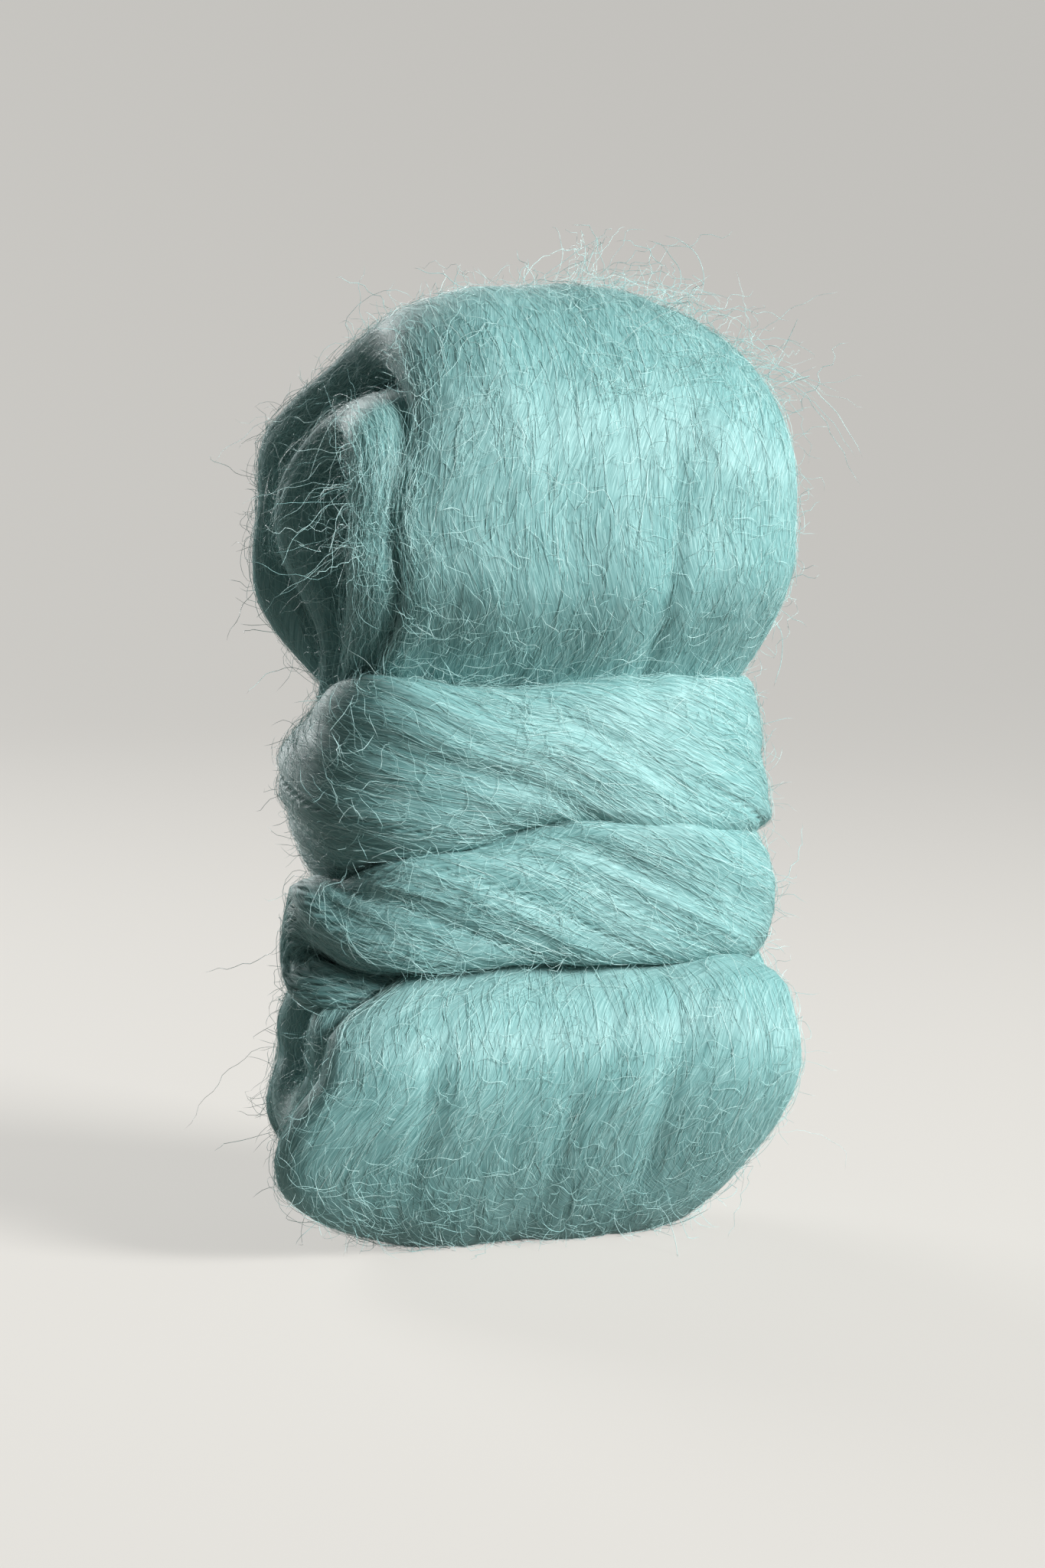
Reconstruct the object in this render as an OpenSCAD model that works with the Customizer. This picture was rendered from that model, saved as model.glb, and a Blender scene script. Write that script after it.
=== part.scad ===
// Hank of combed wool sliver.
// One unbroken strand is folded into two upright loops, one inside the other. It then turns
// aside, is wound round the waist, and its end is hooked back and tucked in under the winding.
// Millimetres. +X is to the right, -Y to the front, +Z up. The origin is the middle of the foot.

/* [Hank] */
// Height over the upper fold
hank_h = 160; // [150:1:165]
// Depth to which the foot is pressed flat
foot_cut = 1.6; // [0.5:0.1:1.6]

/* [Folded loops] */
// Width of the strand across the upper lobe
upper_w = 70; // [62:1:74]
// Width of the strand across the lower lobe
lower_w = 80; // [66:1:81]
// Width of the strand over the crest of the upper fold
upper_crest_w = 52; // [46:1:58]
// Width of the strand under the crest of the lower fold
lower_crest_w = 60; // [52:1:64]
// How much wider the lower lobe is in front than in the middle, and narrower behind
front_extra = 3; // [0:0.5:3]
// Sideways shift of the lower fold's crest
foot_shift = -6; // [-7:0.5:0]
// Thickness of the strand in the inner loop
inner_th = 12.5; // [11.5:0.5:12.5]
// Thickness of the strand in the outer loop
outer_th = 16; // [15:0.5:16]
// Half of the eye between the two legs of the inner loop
eye_half = 3.2; // [2.8:0.1:3.6]
// Gap between one loop and the next
layer_gap = 1; // [0.9:0.1:1.2]
// Height of the lower fold, from its legs to the middle of its crest
lower_fold_r = 25; // [24:0.5:25.5]
// Sideways lean of the upper lobe, against its depth
upper_lean = -0.15; // [-0.2:0.01:0]
// Sideways lean of the lower lobe, against its depth
lower_lean = 0.04; // [0:0.01:0.05]

/* [Waist] */
// Share of its depth that the bundle keeps at the waist
waist_share = 0.55; // [0.53:0.01:0.56]
// Height where the bundle begins to swell into the upper lobe
waist_top = 88.5; // [88:0.5:90]
// Height where the bundle begins to swell into the lower lobe
waist_bottom = 51.5; // [50:0.5:51.5]
// Width of the inner loop at the waist
waist_inner_w = 58; // [50:1:58]
// Width of the outer loop at the waist
waist_outer_w = 44; // [36:1:45]

/* [Waist wrap] */
// Height of the wound band
wrap_h = 22; // [18:0.5:22]
// Thickness of the wound band
wrap_th = 10; // [8:0.5:10]
// Drop of the band from one turn to the next
wrap_drop = 23; // [22.8:0.1:23.2]
// Half width of the winding, to the middle of the band
wrap_half_w = 35; // [35:0.5:37]
// Half depth of the winding in front, to the middle of the band
wrap_front_d = 24; // [24:0.5:26]
// Half depth of the winding behind, to the middle of the band
wrap_back_d = 23; // [22.5:0.5:25]
// How much taller the upper turn spreads on the left
left_spread = 8; // [0:0.5:8]

/* [Tucked tail] */
// Height of the strand where it becomes the tail
tail_h = 14; // [12:0.5:14.5]
// Height of the strand in the hook
hook_h = 11; // [9:0.5:11]
// Height and thickness of the tail's tip
tip_h = 8; // [6:0.5:8]
// Radius of the hook
hook_r = 6.5; // [6.2:0.1:6.6]
// Height of the hook's middle
hook_z = 50.4; // [49.6:0.1:50.8]

/* [Hidden] */

wool = "#7FBDB7";
// Roundness of the strand's oval: 2 is an ellipse, more is fuller
oval = 2.2;
// Points round the strand
sides = 18;

// Middle of the strand in each loop, from the eye
inner_y = eye_half + inner_th / 2;
outer_y = eye_half + inner_th + layer_gap + outer_th / 2;
// Heights at which the legs pass into the folds
upper_fold_z = hank_h - outer_th / 2 - outer_y;
lower_fold_z = lower_fold_r + outer_th / 2 - foot_cut;
lower_inner_z = outer_th - foot_cut + layer_gap + inner_th / 2 + inner_y;
waist_z = (waist_top + waist_bottom) / 2;
// Heights over which the bundle swells from the waist to a lobe
upper_rise = 29;
lower_rise = 20;
// Where the outer loop begins to spread below the winding, and the height that it takes
spread_top = 49;
spread_rise = 10;
// The strand's free beginning, inside the lower lobe
start_z = 42;
// The rear leg climbs from the inner loop to the outer one between these heights
climb_top = 95;
climb_bottom = 50;
// Steps along the free beginning, along a leg and round a fold
start_steps = 3;
leg_steps = 26;
fold_steps = 10;

// The last leg thins to this share of itself and bends aside, at the end with this radius
neck_thin = 0.9;
neck_r = 9;
neck_leg_steps = 7;
neck_steps = 12;
// The neck keeps the depth that the outer loop has this far above the winding's start
neck_up = 14;
// The winding starts behind, turns clockwise seen from above, and ends at the front left
wrap_start = 20;
wrap_end = 590;
wrap_step = 7.5;
// Height of the winding's first turn, and how its drop gathers at the rear and rises in front
wrap_top_z = 92;
drop_swing = 0.29;
drop_phase = 0.875;
// Corner fullness of the winding seen from above: 2 is an ellipse, more is squarer
wrap_square = 3;
// How much higher the winding starts, and the turn by which it has come down
neck_lift = 5;
lift_end = 90;
// The upper turn is tallest at the first angle, and the band narrows to the tail from the last
spread_turn = 275;
spread_reach = 72;
narrow_turn = 520;
// The hook lies on the left side, and its tip returns towards the front
hook_turn = 622;
hook_span = 11;
hook_steps = 10;
tip_turn = 609;
tip_steps = 4;
// How far the hook lies outside the winding, over the shoulder of the lower lobe
tail_lift = 7;
// Height and thickness of the strand as it leaves the hook
bend_h = tip_h + 1;

// Brings the middle of the outline over the origin
centre = [2.86, 0, 0];

function ease(x) = let (c = min(1, max(0, x))) c * c * (3 - 2 * c);
function mix(a, b, k) = a + (b - a) * k;
function unit(v) = v / norm(v);
function power(x, e) = sign(x) * pow(abs(x), e);

// How far the bundle is drawn in at a height: 0 in the lobes and 1 at the waist
function drawn(z) = 1 - ease((z - waist_top) / upper_rise) - ease((waist_bottom - z) / lower_rise);
function share(z) = mix(1, waist_share, drawn(z));
function lean(z) = z > waist_z ? mix(upper_lean, 0, drawn(z)) : mix(lower_lean, 0, drawn(z));

// The strand's place and size in a loop, where layer runs from 0, inner, to 1, outer
function loop_y(layer) = mix(inner_y, outer_y, layer);
// Where a leg slants, it is as much thinner as keeps the loops apart
function slant(layer, z) = loop_y(layer) * (share(z + 0.5) - share(z - 0.5));
function loop_th(layer, z) = mix(inner_th, outer_th, layer) * share(z) / norm([1, slant(layer, z)]);
// How far a fold has turned at a height: 0 at its legs and 1 at its crest
function crest_up(z) = min(1, max(0, (z - upper_fold_z) / outer_y));
function crest_down(z) = pow(min(1, max(0, (lower_fold_z - z) / lower_fold_r)), 2);
function lobe_w(y, z) = z > waist_z ? mix(upper_w, upper_crest_w, crest_up(z))
    : mix(lower_w, lower_crest_w, crest_down(z)) - front_extra * y / outer_y;
function narrowed(layer, z) = z > waist_z ? drawn(z)
    : 1 - ease((mix(waist_bottom, spread_top, layer) - z) / mix(lower_rise, spread_rise, layer));
function waist_w(layer) = mix(waist_inner_w, waist_outer_w, layer);
function loop_w(layer, y, z) = mix(lobe_w(y, z), waist_w(layer), narrowed(layer, z));

// A station of the strand: its middle, its direction across, its half width and half thickness
function station(p, aside, w, th) = [p, aside, w / 2, th / 2];
function loop_station(layer, y, z) = station(
    [lean(z) * y + foot_shift * crest_down(z), y, z],
    [1, 0, 0],
    loop_w(layer, y, z),
    loop_th(layer, z)
);

// A leg stands in front (side -1) or behind (side 1)
function leg(side, layer, z) = loop_station(layer, side * loop_y(layer) * share(z), z);
// A fold turns from the front leg (0 degrees) to the rear leg (180), over the top or under
function fold(layer, up, angle) =
    let (rise = up > 0 || layer == 0 ? loop_y(layer) : lower_fold_r)
    let (middle = up > 0 ? upper_fold_z : layer == 0 ? lower_inner_z : lower_fold_z)
    loop_station(layer, -loop_y(layer) * cos(angle), middle + up * rise * sin(angle));

function leg_run(side, layer, from, to, steps) =
    [for (i = [0:steps - 1]) leg(side, layer, mix(from, to, i / steps))];
function fold_run(layer, up, from, to) =
    [for (i = [0:fold_steps - 1]) fold(layer, up, mix(from, to, i / fold_steps))];
function climb_run() = [for (i = [0:leg_steps - 1])
    let (z = mix(upper_fold_z, lower_fold_z, i / leg_steps))
    leg(1, ease((climb_top - z) / (climb_top - climb_bottom)), z)];

loops = concat(
    leg_run(1, 0, start_z, lower_inner_z, start_steps),
    fold_run(0, -1, 180, 0),
    leg_run(-1, 0, lower_inner_z, upper_fold_z, leg_steps),
    fold_run(0, 1, 0, 180),
    climb_run(),
    fold_run(1, -1, 180, 0),
    leg_run(-1, 1, lower_fold_z, upper_fold_z, leg_steps),
    fold_run(1, 1, 0, 180)
);

// Round the waist, a turn is an angle from behind, and z falls with it
function wrap_z(turn) =
    let (t = turn / 360)
    wrap_top_z - wrap_drop * (t + drop_swing * sin(360 * (t - drop_phase)))
        + neck_lift * ease((lift_end - turn) / (lift_end - wrap_start));

// Depth of the outer loop where its last leg becomes the winding
neck_y = outer_y * share(wrap_z(wrap_start) + neck_up);

// The winding's outline seen from above is shallower where it leaves the neck
function half_depth(turn) = turn < 90 ? neck_y : cos(turn) > 0 ? wrap_back_d : wrap_front_d;
function wrap_point(turn, z, out) =
    let (wide = abs(sin(turn)) / (wrap_half_w + out))
    let (deep = abs(cos(turn)) / (half_depth(turn) + out))
    let (r = pow(pow(wide, wrap_square) + pow(deep, wrap_square), -1 / wrap_square))
    [r * sin(turn), r * cos(turn), z];

// The outer loop's last leg narrows and turns aside to the right in an ever tighter bend
neck_step = PI * neck_r / neck_steps;
function neck_bend(i) = 90 * pow(i / neck_steps, 2);
neck_line = [for (i = 0, p = [0, 0]; i <= neck_steps;
    p = p + neck_step * [sin(neck_bend(i + 0.5)), -cos(neck_bend(i + 0.5))], i = i + 1) p];
neck_from = wrap_point(wrap_start, wrap_z(wrap_start), 0)
    - [neck_line[neck_steps][0], 0, neck_line[neck_steps][1]];
function neck_leg(k) =
    let (z = mix(upper_fold_z, neck_from[2], k), straight = leg(1, 1, z))
    station(
        [mix(straight[0][0], neck_from[0], ease(k)), straight[0][1], z],
        [1, 0, 0],
        2 * straight[2],
        2 * straight[3] * mix(1, neck_thin, ease(k))
    );
function neck_turn(i) =
    let (from = neck_leg(1), z = neck_from[2] + neck_line[i][1])
    station(
        [neck_from[0] + neck_line[i][0], max(neck_y, outer_y * share(z)), z],
        [cos(neck_bend(i)), 0, sin(neck_bend(i))],
        mix(2 * from[2], wrap_h, ease(i / neck_steps)),
        mix(2 * from[3], wrap_th, ease(2 * i / neck_steps))
    );
neck = concat(
    [for (i = [0:neck_leg_steps - 1]) neck_leg(i / neck_leg_steps)],
    [for (i = [0:neck_steps]) neck_turn(i)]
);

// The upper turn spreads on the left, more downward than upward
function spread(turn) = left_spread * ease(1 - abs(turn - spread_turn) / spread_reach);
function wrap_height(turn) =
    mix(wrap_h + spread(turn), tail_h, ease((turn - narrow_turn) / (wrap_end - narrow_turn)));
function wrap_station(turn) =
    station(wrap_point(turn, wrap_z(turn) - spread(turn) / 4, 0), [0, 0, 1], wrap_height(turn), wrap_th);
winding = [for (turn = [wrap_start + wrap_step:wrap_step:wrap_end]) wrap_station(turn)];

// The tail runs on, hooks down and back, and tapers to a tip under the winding
function tail_run(k) =
    let (turn = mix(wrap_end, hook_turn, k), z = mix(wrap_z(turn), hook_z + hook_r, ease(k)))
    station(
        wrap_point(turn, z, tail_lift * ease(k) / 2),
        [0, 0, 1],
        mix(tail_h, hook_h, ease(k)),
        mix(wrap_th, hook_h, k)
    );
function hook(angle) =
    let (turn = hook_turn + hook_span * sin(angle), z = hook_z + hook_r * cos(angle))
    let (out = tail_lift * (1 + angle / 180) / 2)
    let (ahead = unit(wrap_point(turn + 1, z, out) - wrap_point(turn - 1, z, out)))
    station(
        wrap_point(turn, z, out),
        cos(angle) * [0, 0, 1] + sin(angle) * ahead,
        mix(hook_h, bend_h, angle / 180),
        mix(hook_h, bend_h, angle / 180)
    );
function tip_run(k) = station(
    wrap_point(mix(hook_turn, tip_turn, k), hook_z - hook_r, tail_lift),
    [0, 0, -1],
    mix(bend_h, tip_h, k),
    mix(bend_h, tip_h, k)
);
tail = concat(
    [for (i = [1:tip_steps]) tail_run(i / (tip_steps + 1))],
    [for (i = [0:hook_steps]) hook(180 * i / hook_steps)],
    [for (i = [1:tip_steps]) tip_run(i / tip_steps)]
);

// The whole strand, and the stations where one named stretch passes into the next
strand = concat(loops, neck, winding, tail);
neck_at = len(loops) + len(neck) - 1;
tail_at = neck_at + len(winding);

last = len(strand) - 1;

// Along the strand, across it and through its thickness at each station
function middle(i) = strand[i][0];
onward = [for (i = [0:last]) unit(middle(min(i + 1, last)) - middle(max(i - 1, 0)))];
across = [for (i = [0:last]) unit(strand[i][1] - (strand[i][1] * onward[i]) * onward[i])];
through = [for (i = [0:last]) cross(onward[i], across[i])];
function ring(i) = [for (k = [0:sides - 1])
    let (angle = 360 * k / sides)
    centre + middle(i)
        + across[i] * strand[i][2] * power(cos(angle), 2 / oval)
        + through[i] * strand[i][3] * power(sin(angle), 2 / oval)];

// One stretch of the strand as a closed tube of triangles
module stretch(from, to) {
    rings = to - from;
    end = rings * sides;
    points = [for (i = [from:to]) each ring(i)];
    skin = [for (i = [0:rings - 1], k = [0:sides - 1])
        let (a = i * sides + k, b = i * sides + (k + 1) % sides)
        each [[a, a + sides, b + sides], [a, b + sides, b]]];
    ends = [for (k = [1:sides - 2]) each [[0, k, k + 1], [end, end + k + 1, end + k]]];
    polyhedron(points, concat(skin, ends));
}

module folded_loops() {
    color(wool)
    difference() {
        stretch(0, neck_at);
        translate([-hank_h / 2, -hank_h / 2, -hank_h])
            cube(hank_h);
    }
}

module waist_wrap() {
    color(wool)
    stretch(neck_at, tail_at);
}

module tucked_tail() {
    color(wool)
    stretch(tail_at, last);
}

folded_loops();
waist_wrap();
tucked_tail();

// The strand's length, and its least gap to itself: each point of a ring against every oval
// that it lies abreast of and that is further along the strand than a fold
fold_length = 25;
far = 1000;
steps = [for (i = [0:last]) norm(middle(min(i + 1, last)) - middle(i))];
run = [for (i = 0, s = 0; i <= last; s = s + steps[i], i = i + 1) s];

// How near the points of ring i come to the plane of oval j, on its heading
function off_plane(i, j) = abs((middle(i) - middle(j)) * onward[j])
    - strand[i][2] * abs(across[i] * onward[j]) - strand[i][3] * abs(through[i] * onward[j]);
function oval_gap(p, j) =
    let (d = p - centre - middle(j), w = strand[j][2], th = strand[j][3])
    let (x = abs(d * across[j]) / w, y = abs(d * through[j]))
    abs(d * onward[j]) > steps[j] / 2 ? far
    : x < 1 ? y - th * pow(1 - pow(x, oval), 1 / oval)
    : norm([(x - 1) * w, y]);
function ring_gap(i) =
    let (points = ring(i))
    min([for (j = [0:last])
        if (abs(run[i] - run[j]) > fold_length && off_plane(i, j) < steps[j] / 2)
            each [for (p = points) oval_gap(p, j)]]);

echo(strand_length = run[last], least_gap = min([for (i = [0:last]) ring_gap(i)]));
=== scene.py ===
import math

import bpy
import numpy as np
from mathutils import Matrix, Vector
from mathutils.bvhtree import BVHTree


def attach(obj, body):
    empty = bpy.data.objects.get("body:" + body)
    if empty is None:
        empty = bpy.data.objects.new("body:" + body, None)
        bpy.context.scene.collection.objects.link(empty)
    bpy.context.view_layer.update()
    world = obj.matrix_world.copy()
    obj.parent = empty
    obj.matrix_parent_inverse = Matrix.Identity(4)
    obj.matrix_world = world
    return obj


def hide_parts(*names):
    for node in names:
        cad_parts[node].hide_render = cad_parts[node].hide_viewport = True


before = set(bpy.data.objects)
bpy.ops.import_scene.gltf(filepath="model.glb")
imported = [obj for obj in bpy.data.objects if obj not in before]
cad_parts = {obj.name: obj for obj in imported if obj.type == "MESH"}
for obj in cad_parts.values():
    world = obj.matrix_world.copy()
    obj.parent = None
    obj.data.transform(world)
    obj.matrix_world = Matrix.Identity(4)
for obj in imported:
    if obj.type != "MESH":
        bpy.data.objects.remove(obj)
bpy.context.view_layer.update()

# The strand: a dyed combed wool sliver, a soft rope of parallel fibres with no twist of its own. It is
# doubled into two upright loops, one inside the other, and its end is wound round their waist and tucked
# in. Its middle line is the solid's own, in millimetres, and its section is a little fuller than the solid.
MM = 0.001
CENTRE = np.array([2.86, 0.0, 0.0])
HANK_H, FOOT_CUT = 160.0, 1.6
UPPER_W, LOWER_W, UPPER_CREST_W, LOWER_CREST_W = 70.0, 79.0, 59.0, 60.0
INNER_TH, OUTER_TH, EYE_HALF, LAYER_GAP = 12.5, 16.0, 3.2, 1.0
UPPER_LEAN, LOWER_LEAN, FRONT_EXTRA = -0.18, 0.095, 3.0
WAIST_SHARE, WAIST_TOP, WAIST_BOTTOM = 0.55, 88.5, 53.0
WAIST_INNER_W, WAIST_OUTER_W = 72.0, 54.0
UPPER_RISE, LOWER_RISE, FOOT_SHIFT, FOOT_EXTRA, CREST_SHIFT = 29.0, 20.0, -3.0, 3.0, 2.0
HIGH_SPREAD_Z, HIGH_SPREAD_RISE = 82.0, 20.0
LOW_SPREAD_Z, LOW_SPREAD_RISE, CORE_SPREAD_RISE = 50.0, 10.0, 12.0
START_Z, CLIMB_TOP, CLIMB_BOTTOM, LOWER_FOLD_R, PRESSED_OUT = 58.0, 95.0, 50.0, 25.0, 0.7
INNER_Y = EYE_HALF + INNER_TH / 2 + PRESSED_OUT
OUTER_Y = EYE_HALF + INNER_TH + LAYER_GAP + OUTER_TH / 2
UPPER_FOLD_Z = HANK_H - OUTER_TH / 2 - OUTER_Y
LOWER_FOLD_Z = LOWER_FOLD_R + OUTER_TH / 2 - FOOT_CUT
LOWER_INNER_Z = OUTER_TH - FOOT_CUT + LAYER_GAP + INNER_TH / 2 + INNER_Y
WAIST_Z = (WAIST_TOP + WAIST_BOTTOM) / 2


def ease(x):
    c = np.clip(x, 0.0, 1.0)
    return c * c * (3 - 2 * c)


def mix(a, b, k):
    return a + (b - a) * k


def drawn(z):
    return 1 - ease((z - WAIST_TOP) / UPPER_RISE) - ease((WAIST_BOTTOM - z) / LOWER_RISE)


def share(z):
    return mix(1, WAIST_SHARE, drawn(z))


def loop_y(layer):
    return mix(INNER_Y, OUTER_Y, layer)


def loop_stations(layer, y, z):
    """Rows of middle, aside, width and thickness where the strand lies in a loop."""
    upper = z > WAIST_Z
    lean = np.where(upper, UPPER_LEAN, LOWER_LEAN) * (1 - drawn(z))
    up = np.clip((z - UPPER_FOLD_Z) / OUTER_Y, 0, 1)
    down = np.clip((LOWER_FOLD_Z - z) / LOWER_FOLD_R, 0, 1)
    lobe_w = np.where(upper, mix(UPPER_W, UPPER_CREST_W, up ** 2), mix(LOWER_W, LOWER_CREST_W, down ** 4))
    lobe_w = lobe_w + np.where(upper, 0, FOOT_EXTRA * np.sin(np.pi * down) - FRONT_EXTRA * y / OUTER_Y)
    high = ease((z - HIGH_SPREAD_Z) / HIGH_SPREAD_RISE)
    low = ease((mix(WAIST_BOTTOM, LOW_SPREAD_Z, layer) - z) / mix(CORE_SPREAD_RISE, LOW_SPREAD_RISE, layer))
    width = mix(mix(WAIST_INNER_W, WAIST_OUTER_W, layer), lobe_w, np.where(upper, high, low))
    thick = mix(INNER_TH, OUTER_TH, layer) * share(z)
    one, nil = np.ones_like(z), np.zeros_like(z)
    x = lean * y + FOOT_SHIFT * np.sin(np.pi * down) + CREST_SHIFT * up ** 2
    return np.stack([x, y, z, one, nil, nil, width, thick], 1)


def leg(side, layer, start, end, steps):
    z = np.linspace(start, end, steps, endpoint=False)
    return loop_stations(layer + 0 * z, side * loop_y(layer) * share(z), z)


def fold(layer, up, start, end, steps):
    turn = np.radians(np.linspace(start, end, steps, endpoint=False))
    rise = loop_y(layer) if up > 0 or layer == 0 else LOWER_FOLD_R
    middle = UPPER_FOLD_Z if up > 0 else LOWER_INNER_Z if layer == 0 else LOWER_FOLD_Z
    return loop_stations(layer + 0 * turn, -loop_y(layer) * np.cos(turn), middle + up * rise * np.sin(turn))


climb_z = np.linspace(UPPER_FOLD_Z, LOWER_FOLD_Z, 200, endpoint=False)
climb = ease((CLIMB_TOP - climb_z) / (CLIMB_TOP - CLIMB_BOTTOM))
inner_loop = np.concatenate([
    leg(1, 0, START_Z, LOWER_INNER_Z, 20),
    fold(0, -1, 180, 0, 80),
    leg(-1, 0, LOWER_INNER_Z, UPPER_FOLD_Z, 200),
    fold(0, 1, 0, 180, 80),
    loop_stations(climb, loop_y(climb) * share(climb_z), climb_z),
])
outer_loop = np.concatenate([
    fold(1, -1, 180, 0, 160),
    leg(-1, 1, LOWER_FOLD_Z, UPPER_FOLD_Z, 200),
    fold(1, 1, 0, 180, 160),
])
loops = np.concatenate([inner_loop, outer_loop])

# The winding: the strand's next stretch, drawn tight round the waist of the loops. It starts at the neck at
# the back and goes round a little more than one and a half times, and its two turns show as bands in front.
WRAP_H, WRAP_TH, WRAP_DROP, WRAP_TOP_Z, DROP_SWING, DROP_PHASE = 22.0, 10.0, 23.0, 92.0, 0.29, 0.875
WRAP_HALF_W, WRAP_FRONT_D, WRAP_BACK_D, WRAP_SQUARE = 34.0, 23.5, 22.5, 2.8
WRAP_START, WRAP_END, NECK_RISE, NECK_LIFT, LIFT_END = 20.0, 590.0, 14.0, 5.0, 90.0
LEFT_SPREAD, LEFT_TURN, LEFT_REACH, BAND_FULL, BAND_SWELL = 10.0, 265, 75, 1.06, 0.1
TAIL_W, TAPER_TURN = 16.0, 530


def wrap_z(turn):
    t = turn / 360
    lift = NECK_LIFT * ease((LIFT_END - turn) / (LIFT_END - WRAP_START))
    return WRAP_TOP_Z - WRAP_DROP * (t + DROP_SWING * np.sin(2 * np.pi * (t - DROP_PHASE))) + lift


NECK_Z = wrap_z(WRAP_START) + NECK_RISE
NECK_Y = OUTER_Y * share(NECK_Z)


def wrap_point(turn, z, out):
    a = np.radians(turn)
    deep = np.where(turn < 90, NECK_Y, np.where(np.cos(a) > 0, WRAP_BACK_D, WRAP_FRONT_D))
    wide = np.abs(np.sin(a)) / (WRAP_HALF_W + out)
    deep = np.abs(np.cos(a)) / (deep + out)
    r = (wide ** WRAP_SQUARE + deep ** WRAP_SQUARE) ** (-1 / WRAP_SQUARE)
    return np.stack([r * np.sin(a), r * np.cos(a), z], 1)


# The last leg narrows and turns aside to the right in an ever tighter bend, and becomes the winding
NECK_END_R, NECK_STEPS = 9.0, 90
neck_run = math.pi * NECK_END_R
bend = np.pi / 2 * ((np.arange(NECK_STEPS) + 0.5) / NECK_STEPS) ** 2
aside_by = np.cumsum(np.sin(bend)) * neck_run / NECK_STEPS
down_by = np.cumsum(np.cos(bend)) * neck_run / NECK_STEPS
neck_end = wrap_point(np.array([WRAP_START]), np.array([wrap_z(WRAP_START)]), 0)[0]
neck_x, neck_z = neck_end[0] - aside_by[-1], neck_end[2] + down_by[-1]
k = np.linspace(0, 1, 30, endpoint=False)
z = mix(UPPER_FOLD_Z, neck_z, k)
last_leg = loop_stations(1 + 0 * k, OUTER_Y * share(z), z)
last_leg[:, 0] = mix(last_leg[:, 0], neck_x, ease(k))
bend = np.pi / 2 * (np.arange(NECK_STEPS) / NECK_STEPS) ** 2
x = neck_x + np.concatenate([[0], aside_by[:-1]])
z = neck_z - np.concatenate([[0], down_by[:-1]])
k = np.arange(NECK_STEPS) / NECK_STEPS
neck = loop_stations(1 + 0 * k, OUTER_Y * share(np.maximum(z, NECK_Z)), z)
neck[:, 0], neck[:, 3], neck[:, 5] = x, np.cos(bend), np.sin(bend)
neck[:, 6] = mix(last_leg[-1, 6], WRAP_H, ease(k))
neck[:, 7] = mix(last_leg[-1, 7], WRAP_TH, ease(k))

turn = np.linspace(WRAP_START, WRAP_END, 600, endpoint=False)
spread = LEFT_SPREAD * ease(1 - np.abs(turn - LEFT_TURN) / LEFT_REACH)
band = (WRAP_H + spread) * (BAND_FULL + BAND_SWELL * np.sin(np.radians(turn)))
band = mix(band, TAIL_W, ease((turn - TAPER_TURN) / (WRAP_END - TAPER_TURN)))
upright = np.tile([0.0, 0.0, 1.0], (len(turn), 1))
route = wrap_point(turn, wrap_z(turn) - spread / 4, 0)
winding = np.column_stack([route, upright, band, WRAP_TH + 0 * turn])

# The tail: the strand's last few centimetres, hooked back on itself at the lower left and tucked in under
# the lower band, so that the hank holds together without a tie.
HOOK_H, HOOK_R, HOOK_Z, HOOK_TURN, HOOK_SPAN = 11.0, 6.2, 51.6, 620, 11
TIP_H, TIP_TURN, TIP_SUNK, TAIL_LIFT = 8.0, 598, -5, 5.5
k = np.linspace(0, 1, 50, endpoint=False)
turn = mix(WRAP_END, HOOK_TURN, k)
z = mix(wrap_z(turn), HOOK_Z + HOOK_R, ease(k))
upright = np.tile([0.0, 0.0, 1.0], (len(k), 1))
route = wrap_point(turn, z, TAIL_LIFT * ease(k) / 2)
tail_run = np.column_stack([route, upright, mix(TAIL_W, HOOK_H, ease(k)), mix(WRAP_TH, HOOK_H, k)])
angle = np.radians(np.linspace(0, 180, 60, endpoint=False))
turn = HOOK_TURN + HOOK_SPAN * np.sin(angle)
z = HOOK_Z + HOOK_R * np.cos(angle)
out = TAIL_LIFT * (1 + angle / np.pi) / 2
ahead = wrap_point(turn + 1, z, out) - wrap_point(turn - 1, z, out)
ahead /= np.linalg.norm(ahead, axis=1)[:, None]
aside = np.cos(angle)[:, None] * [0, 0, 1] + np.sin(angle)[:, None] * ahead
size = mix(HOOK_H, TIP_H + 1, angle / np.pi)
hook = np.column_stack([wrap_point(turn, z, out), aside, size, size])
k = np.linspace(0, 1, 20)
turn = mix(HOOK_TURN, TIP_TURN, k)
downward = np.tile([0.0, 0.0, -1.0], (len(k), 1))
size = mix(TIP_H + 1, TIP_H, k)
route = wrap_point(turn, HOOK_Z - HOOK_R + 0 * k, mix(TAIL_LIFT, TIP_SUNK, ease(k)))
tip = np.column_stack([route, downward, size, size])

stations = np.concatenate([loops, last_leg, neck, winding, tail_run, hook, tip])
neck_at = len(loops) + len(last_leg) + len(neck)
tail_at = neck_at + len(winding)
run = np.concatenate([[0], np.cumsum(np.linalg.norm(np.diff(stations[:, :3], axis=0), axis=1))])

# The strand's rings stand this far apart, and one falls on each change from loops to winding to tail
RING_STEP, SIDES = 2.2, 240
rows, marks = [], [0]
for start, end in ((0.0, run[neck_at]), (run[neck_at], run[tail_at]), (run[tail_at], run[-1])):
    count = int(round((end - start) / RING_STEP))
    rows.append(np.linspace(start, end, count + 1)[bool(rows):])
    marks.append(marks[-1] + count)
along = np.concatenate(rows)
rings = len(along)
at = np.stack([np.interp(along, run, stations[:, c]) for c in range(8)], 1)
middle = at[:, :3] + CENTRE
onward = np.gradient(middle, axis=0)
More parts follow.
